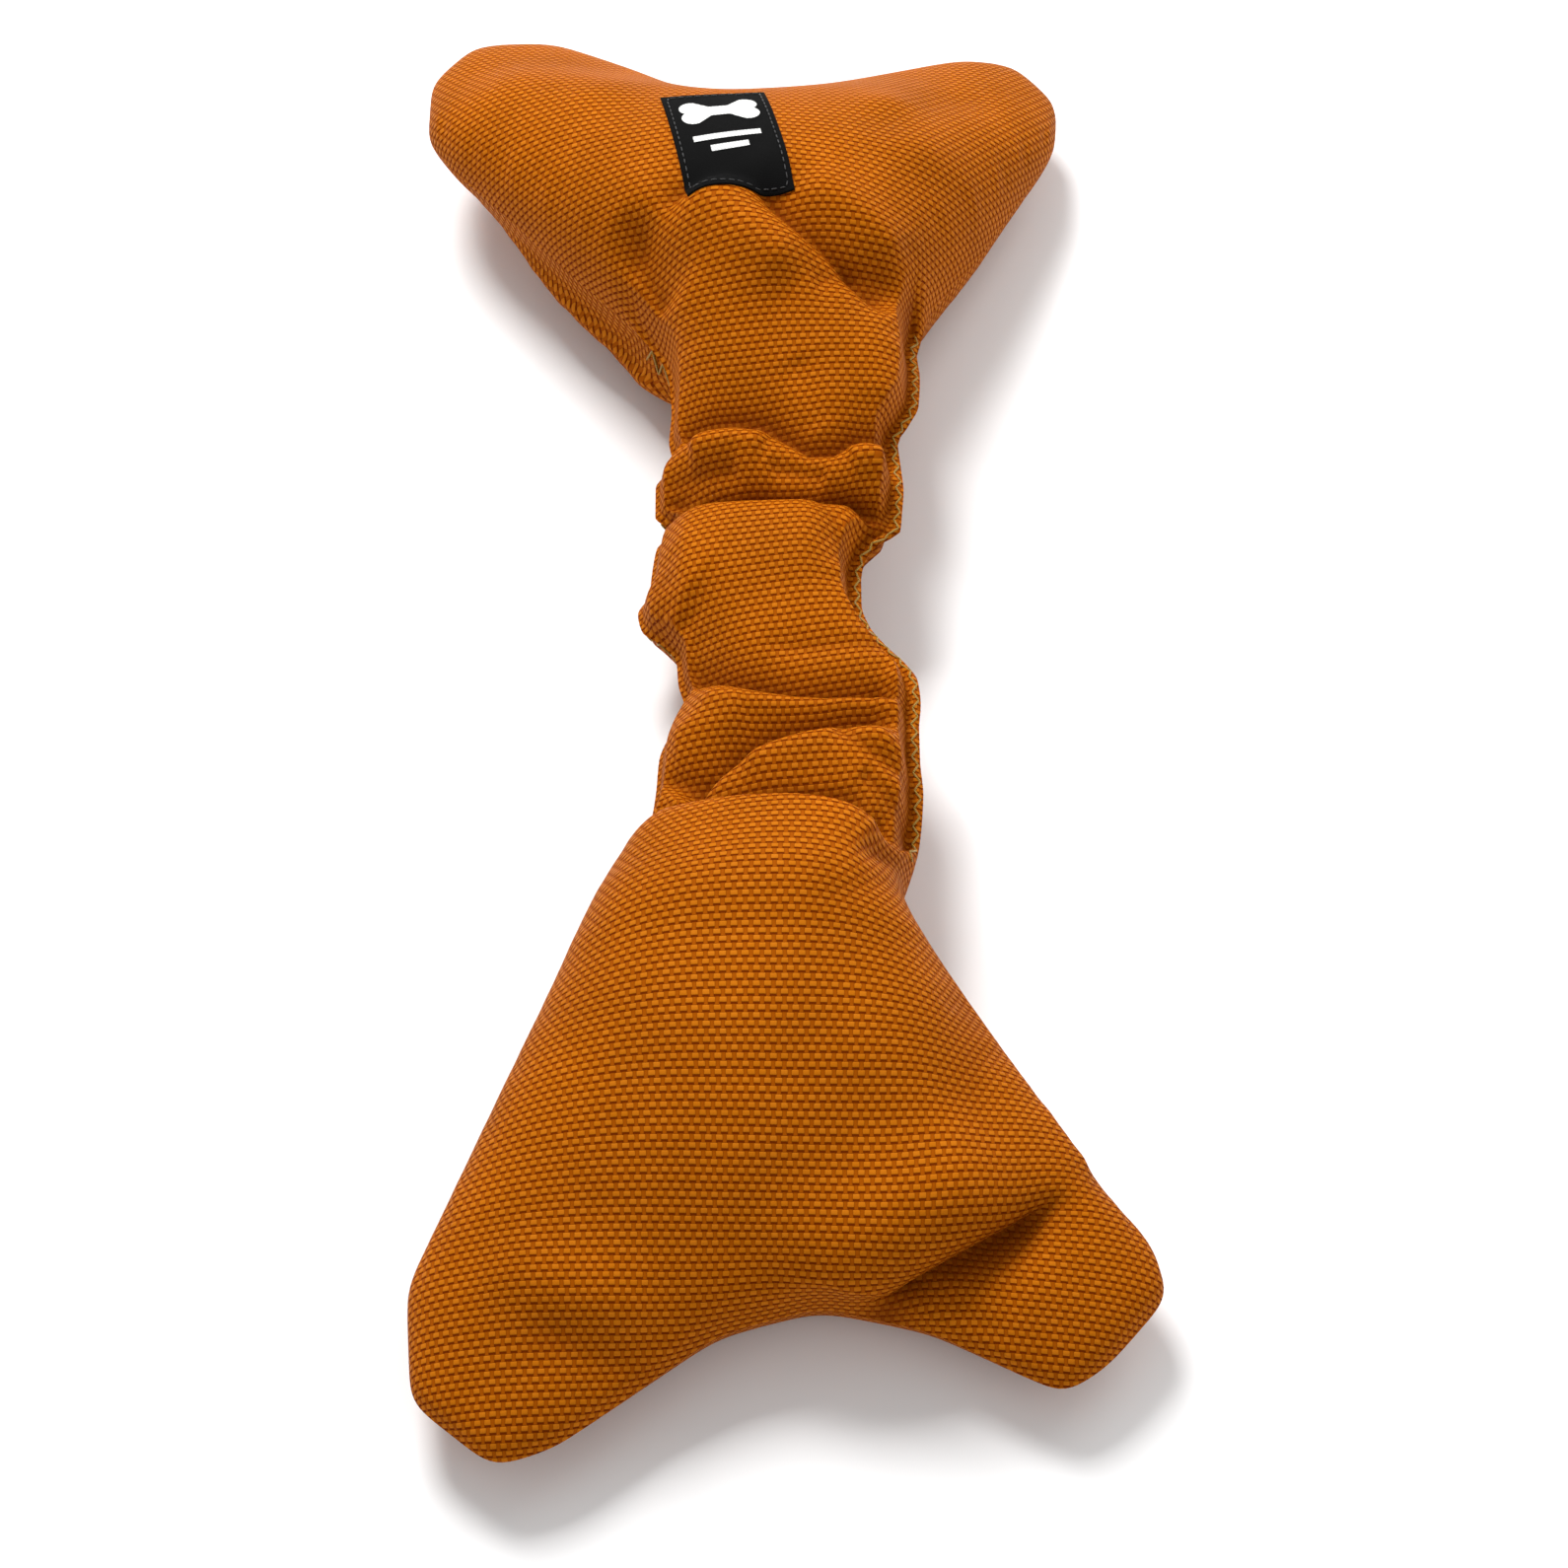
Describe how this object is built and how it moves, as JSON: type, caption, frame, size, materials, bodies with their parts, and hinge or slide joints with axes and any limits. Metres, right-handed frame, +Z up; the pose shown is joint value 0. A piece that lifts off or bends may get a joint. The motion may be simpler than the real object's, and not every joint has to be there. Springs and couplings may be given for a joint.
{
  "type": "bone-shaped stretch tug bumper",
  "caption": "Stuffed nylon training bumper: two notched, padded heads joined by an elastic-gathered neck that stretches, folds, bends and twists.",
  "frame": {"origin": "on the floor below the middle of the neck, with the bumper lying on its back panel", "axes": "+Y along the neck towards the head with the label, +Z up out of the front, +X to the right"},
  "size_m": [0.15, 0.3798, 0.0603],
  "materials": {
    "ballistic_nylon": "coarse 2x2 basket weave",
    "fibre_fill": "loose fibre",
    "orange_thread": "bonded thread",
    "olive_thread": "bonded thread",
    "elastic": "ribbed elastic webbing",
    "label_cloth": "fine satin weave",
    "label_thread": "fine thread",
    "emblem_thread": "woven pattern"
  },
  "bodies": {
    "lower_head": {"lower_front_panel": "ballistic_nylon", "lower_back_panel": "ballistic_nylon", "lower_padding": "fibre_fill", "lower_seam_allowance": "ballistic_nylon", "lower_seam_stitches": "orange_thread", "lower_bar_tacks": "orange_thread"},
    "gather_1": {"gather_1_front": "ballistic_nylon", "gather_1_back": "ballistic_nylon", "gather_1_padding": "fibre_fill"},
    "gather_2": {"gather_2_front": "ballistic_nylon", "gather_2_back": "ballistic_nylon", "gather_2_padding": "fibre_fill"},
    "gather_3": {"gather_3_front": "ballistic_nylon", "gather_3_back": "ballistic_nylon", "gather_3_padding": "fibre_fill", "left_elastic_band": "elastic", "left_elastic_stitches": "olive_thread", "right_elastic_band": "elastic", "right_elastic_stitches": "olive_thread"},
    "gather_4": {"gather_4_front": "ballistic_nylon", "gather_4_back": "ballistic_nylon", "gather_4_padding": "fibre_fill"},
    "gather_5": {"gather_5_front": "ballistic_nylon", "gather_5_back": "ballistic_nylon", "gather_5_padding": "fibre_fill"},
    "upper_head": {"upper_front_panel": "ballistic_nylon", "upper_back_panel": "ballistic_nylon", "upper_padding": "fibre_fill", "upper_seam_allowance": "ballistic_nylon", "upper_seam_stitches": "orange_thread", "upper_bar_tacks": "orange_thread", "label": "label_cloth", "label_stitches": "label_thread", "label_emblem": "emblem_thread"}
  },
  "joints": [
    {"name": "stretch_lower", "type": "slide", "parent": "lower_head", "child": "gather_1", "axis": [0, 1, 0], "range_m": [0, 0.025], "stiffness_N_per_m": 600, "deforming": ["gather_1_front", "gather_1_back", "gather_1_padding", "left_elastic_band", "left_elastic_stitches", "right_elastic_band", "right_elastic_stitches"]},
    {"name": "fold_lower", "type": "hinge", "parent": "gather_1", "child": "gather_2", "pos_m": [0, -0.033, 0.022], "axis": [1, 0, 0], "range_deg": [-60, 60], "stiffness_Nm_per_rad": 0.6, "deforming": ["gather_2_front", "gather_2_back", "gather_2_padding"]},
    {"name": "side_bend", "type": "hinge", "parent": "gather_2", "child": "gather_3", "pos_m": [0, -0.0105, 0.022], "axis": [0, 0, 1], "range_deg": [-30, 30], "stiffness_Nm_per_rad": 0.6, "deforming": ["gather_3_front", "gather_3_back", "gather_3_padding"]},
    {"name": "twist", "type": "hinge", "parent": "gather_3", "child": "gather_4", "pos_m": [0, 0.0105, 0.022], "axis": [0, 1, 0], "range_deg": [-60, 60], "stiffness_Nm_per_rad": 0.6, "deforming": ["gather_4_front", "gather_4_back", "gather_4_padding"]},
    {"name": "fold_upper", "type": "hinge", "parent": "gather_4", "child": "gather_5", "pos_m": [0, 0.033, 0.022], "axis": [1, 0, 0], "range_deg": [-60, 60], "stiffness_Nm_per_rad": 0.6, "deforming": ["gather_5_front", "gather_5_back", "gather_5_padding"]},
    {"name": "stretch_upper", "type": "slide", "parent": "gather_5", "child": "upper_head", "axis": [0, 1, 0], "range_m": [0, 0.025], "stiffness_N_per_m": 600}
  ],
  "couplings": [
    {"joint": "fold_upper", "follows": "fold_lower", "ratio": 1},
    {"joint": "stretch_upper", "follows": "stretch_lower", "ratio": 1}
  ]
}
